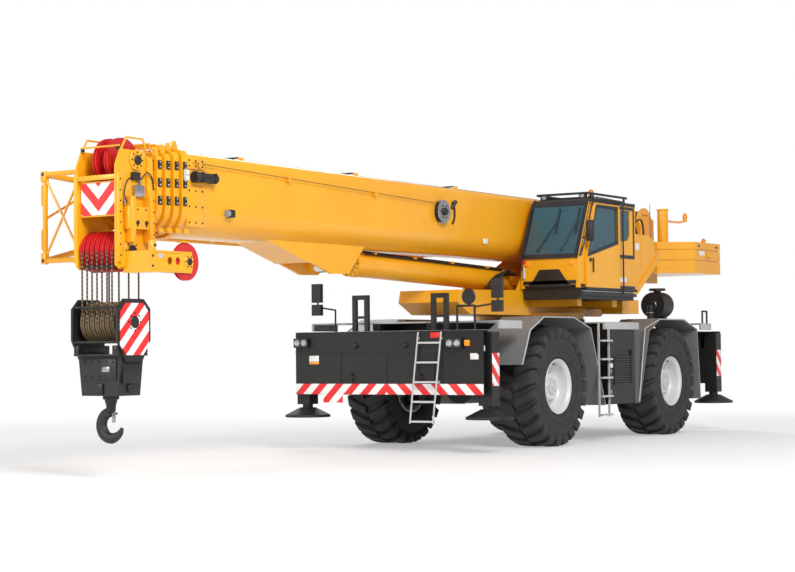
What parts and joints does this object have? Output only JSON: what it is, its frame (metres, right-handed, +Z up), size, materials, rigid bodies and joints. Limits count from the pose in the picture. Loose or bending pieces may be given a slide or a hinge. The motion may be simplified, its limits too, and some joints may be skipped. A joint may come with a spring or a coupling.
{
  "type": "rough-terrain mobile crane",
  "caption": "Rough-terrain mobile crane with a slewing cab, telescopic boom, hook block, steered axles and sliding outriggers.",
  "frame": {"origin": "centre of the overall box on the ground plane, between the wheels' contact planes", "axes": "+X forward along the boom, +Y to the left, +Z up"},
  "size_m": [15.47, 3.9596, 4.168],
  "materials": {
    "crane_yellow": "semi-gloss",
    "crane_orange": "semi-gloss",
    "carrier_grey": "satin",
    "fender_grey": "satin",
    "deck_grey": "satin",
    "silver": "satin",
    "tyre": "matte",
    "black": "matte",
    "sheave_red": "gloss",
    "glass": "gloss",
    "rope": "satin",
    "chrome_rod": "polished",
    "cast": "matte",
    "board": "gloss",
    "seat": "matte",
    "nylon": "satin"
  },
  "bodies": {
    "carrier": {"chassis_frame": "carrier_grey", "outrigger_boxes": "carrier_grey", "deck": "deck_grey", "fenders": "fender_grey", "side_lockers": "carrier_grey", "ladders": "deck_grey", "rails_and_mirrors": "black", "lamps": "black", "powertrain": "cast", "air_cleaner": "black", "axles": "carrier_grey"},
    "superstructure": {"turntable": "crane_orange", "counterweight": "crane_yellow", "winches": "crane_yellow", "tail_unit": "crane_yellow", "cab_base": "black", "cab_walls": "crane_yellow", "cab_roof": "crane_yellow", "cab_glass": "glass", "cab_interior": "seat"},
    "door": {"cab_door": "crane_yellow", "door_glass": "glass"},
    "boom_base": {"boom_base": "crane_yellow", "jib": "crane_yellow"},
    "boom_2": {"boom_section_2": "crane_yellow"},
    "boom_3": {"boom_section_3": "crane_yellow"},
    "boom_4": {"boom_section_4": "crane_yellow"},
    "boom_5": {"boom_head": "crane_yellow", "head_sheaves": "sheave_red", "auxiliary_nose": "crane_yellow", "warning_board": "board"},
    "lift_barrel": {"lift_barrel": "crane_orange"},
    "lift_rod": {"lift_rod": "chrome_rod"},
    "hook_block": {"hook_block": "carrier_grey", "block_sheaves": "nylon", "rope_falls": "rope"},
    "hook": {"hook": "cast"},
    "knuckle_front_left": {"knuckle_front_left": "cast"},
    "wheel_front_left": {"rim_front_left": "silver", "tyre_front_left": "tyre"},
    "beam_front_left": {"outrigger_beam_front_left": "carrier_grey"},
    "jack_front_left": {"jack_front_left": "cast"},
    "knuckle_front_right": {"knuckle_front_right": "cast"},
    "wheel_front_right": {"rim_front_right": "silver", "tyre_front_right": "tyre"},
    "beam_front_right": {"outrigger_beam_front_right": "carrier_grey"},
    "jack_front_right": {"jack_front_right": "cast"},
    "knuckle_rear_left": {"knuckle_rear_left": "cast"},
    "wheel_rear_left": {"rim_rear_left": "silver", "tyre_rear_left": "tyre"},
    "beam_rear_left": {"outrigger_beam_rear_left": "carrier_grey"},
    "jack_rear_left": {"jack_rear_left": "cast"},
    "knuckle_rear_right": {"knuckle_rear_right": "cast"},
    "wheel_rear_right": {"rim_rear_right": "silver", "tyre_rear_right": "tyre"},
    "beam_rear_right": {"outrigger_beam_rear_right": "carrier_grey"},
    "jack_rear_right": {"jack_rear_right": "cast"}
  },
  "joints": [
    {"name": "steer_front_left", "type": "hinge", "parent": "carrier", "child": "knuckle_front_left", "pos_m": [-1.005, 1.06, 0.935], "axis": [0, 0, 1], "range_deg": [-25, 25]},
    {"name": "roll_front_left", "type": "hinge", "parent": "knuckle_front_left", "child": "wheel_front_left", "pos_m": [-1.005, 1.357, 0.935], "axis": [0, 1, 0], "continuous": true},
    {"name": "extend_beam_front_left", "type": "slide", "parent": "carrier", "child": "beam_front_left", "axis": [0, 1, 0], "range_m": [0, 2.05]},
    {"name": "lower_jack_front_left", "type": "slide", "parent": "beam_front_left", "child": "jack_front_left", "axis": [0, 0, -1], "range_m": [0, 0.65]},
    {"name": "steer_front_right", "type": "hinge", "parent": "carrier", "child": "knuckle_front_right", "pos_m": [-1.005, -1.06, 0.935], "axis": [0, 0, 1], "range_deg": [-25, 25]},
    {"name": "roll_front_right", "type": "hinge", "parent": "knuckle_front_right", "child": "wheel_front_right", "pos_m": [-1.005, -1.357, 0.935], "axis": [0, 1, 0], "continuous": true},
    {"name": "extend_beam_front_right", "type": "slide", "parent": "carrier", "child": "beam_front_right", "axis": [0, -1, 0], "range_m": [0, 2.05]},
    {"name": "lower_jack_front_right", "type": "slide", "parent": "beam_front_right", "child": "jack_front_right", "axis": [0, 0, -1], "range_m": [0, 0.65]},
    {"name": "steer_rear_left", "type": "hinge", "parent": "carrier", "child": "knuckle_rear_left", "pos_m": [-5.205, 1.06, 0.935], "axis": [0, 0, 1], "range_deg": [-25, 25]},
    {"name": "roll_rear_left", "type": "hinge", "parent": "knuckle_rear_left", "child": "wheel_rear_left", "pos_m": [-5.205, 1.357, 0.935], "axis": [0, 1, 0], "continuous": true},
    {"name": "extend_beam_rear_left", "type": "slide", "parent": "carrier", "child": "beam_rear_left", "axis": [0, 1, 0], "range_m": [0, 2.05]},
    {"name": "lower_jack_rear_left", "type": "slide", "parent": "beam_rear_left", "child": "jack_rear_left", "axis": [0, 0, -1], "range_m": [0, 0.65]},
    {"name": "steer_rear_right", "type": "hinge", "parent": "carrier", "child": "knuckle_rear_right", "pos_m": [-5.205, -1.06, 0.935], "axis": [0, 0, 1], "range_deg": [-25, 25]},
    {"name": "roll_rear_right", "type": "hinge", "parent": "knuckle_rear_right", "child": "wheel_rear_right", "pos_m": [-5.205, -1.357, 0.935], "axis": [0, 1, 0], "continuous": true},
    {"name": "extend_beam_rear_right", "type": "slide", "parent": "carrier", "child": "beam_rear_right", "axis": [0, -1, 0], "range_m": [0, 2.05]},
    {"name": "lower_jack_rear_right", "type": "slide", "parent": "beam_rear_right", "child": "jack_rear_right", "axis": [0, 0, -1], "range_m": [0, 0.65]},
    {"name": "slew", "type": "hinge", "parent": "carrier", "child": "superstructure", "pos_m": [-3.105, 0, 2.015], "axis": [0, 0, 1], "continuous": true},
    {"name": "slide_door", "type": "slide", "parent": "superstructure", "child": "door", "axis": [-1, 0, 0], "range_m": [0, 0.65]},
    {"name": "luff", "type": "hinge", "parent": "superstructure", "child": "boom_base", "pos_m": [-4.605, 0, 3.25], "axis": [0, -1, 0], "range_deg": [0, 80]},
    {"name": "telescope_2", "type": "slide", "parent": "boom_base", "child": "boom_2", "axis": [1, 0, 0], "range_m": [0, 8.75]},
    {"name": "telescope_3", "type": "slide", "parent": "boom_2", "child": "boom_3", "axis": [1, 0, 0], "range_m": [0, 8.751]},
    {"name": "telescope_4", "type": "slide", "parent": "boom_3", "child": "boom_4", "axis": [1, 0, 0], "range_m": [0, 8.751]},
    {"name": "telescope_5", "type": "slide", "parent": "boom_4", "child": "boom_5", "axis": [1, 0, 0], "range_m": [0, 8.751]},
    {"name": "lift_swing", "type": "hinge", "parent": "superstructure", "child": "lift_barrel", "pos_m": [-2.305, 0, 2.65], "axis": [0, -1, 0], "range_deg": [0, 92.5]},
    {"name": "lift_extend", "type": "slide", "parent": "lift_barrel", "child": "lift_rod", "axis": [0.9995, 0, 0.0301], "range_m": [0, 2.73]},
    {"name": "hook_plumb", "type": "hinge", "parent": "boom_5", "child": "hook_block", "pos_m": [7.435, 0, 2.76], "axis": [0, -1, 0], "range_deg": [-80, 0]},
    {"name": "hook_swivel", "type": "hinge", "parent": "hook_block", "child": "hook", "pos_m": [7.435, 0, 1.01], "axis": [0, 0, 1], "continuous": true}
  ],
  "couplings": [
    {"joint": "steer_front_right", "follows": "steer_front_left", "ratio": 1},
    {"joint": "steer_rear_right", "follows": "steer_rear_left", "ratio": 1},
    {"joint": "telescope_3", "follows": "telescope_2", "ratio": 1},
    {"joint": "telescope_4", "follows": "telescope_2", "ratio": 1},
    {"joint": "telescope_5", "follows": "telescope_2", "ratio": 1},
    {"joint": "lift_swing", "follows": "luff", "ratio": 1.1553},
    {"joint": "lift_extend", "follows": "luff", "m_per_rad": 1.9538},
    {"joint": "hook_plumb", "follows": "luff", "ratio": -1}
  ]
}
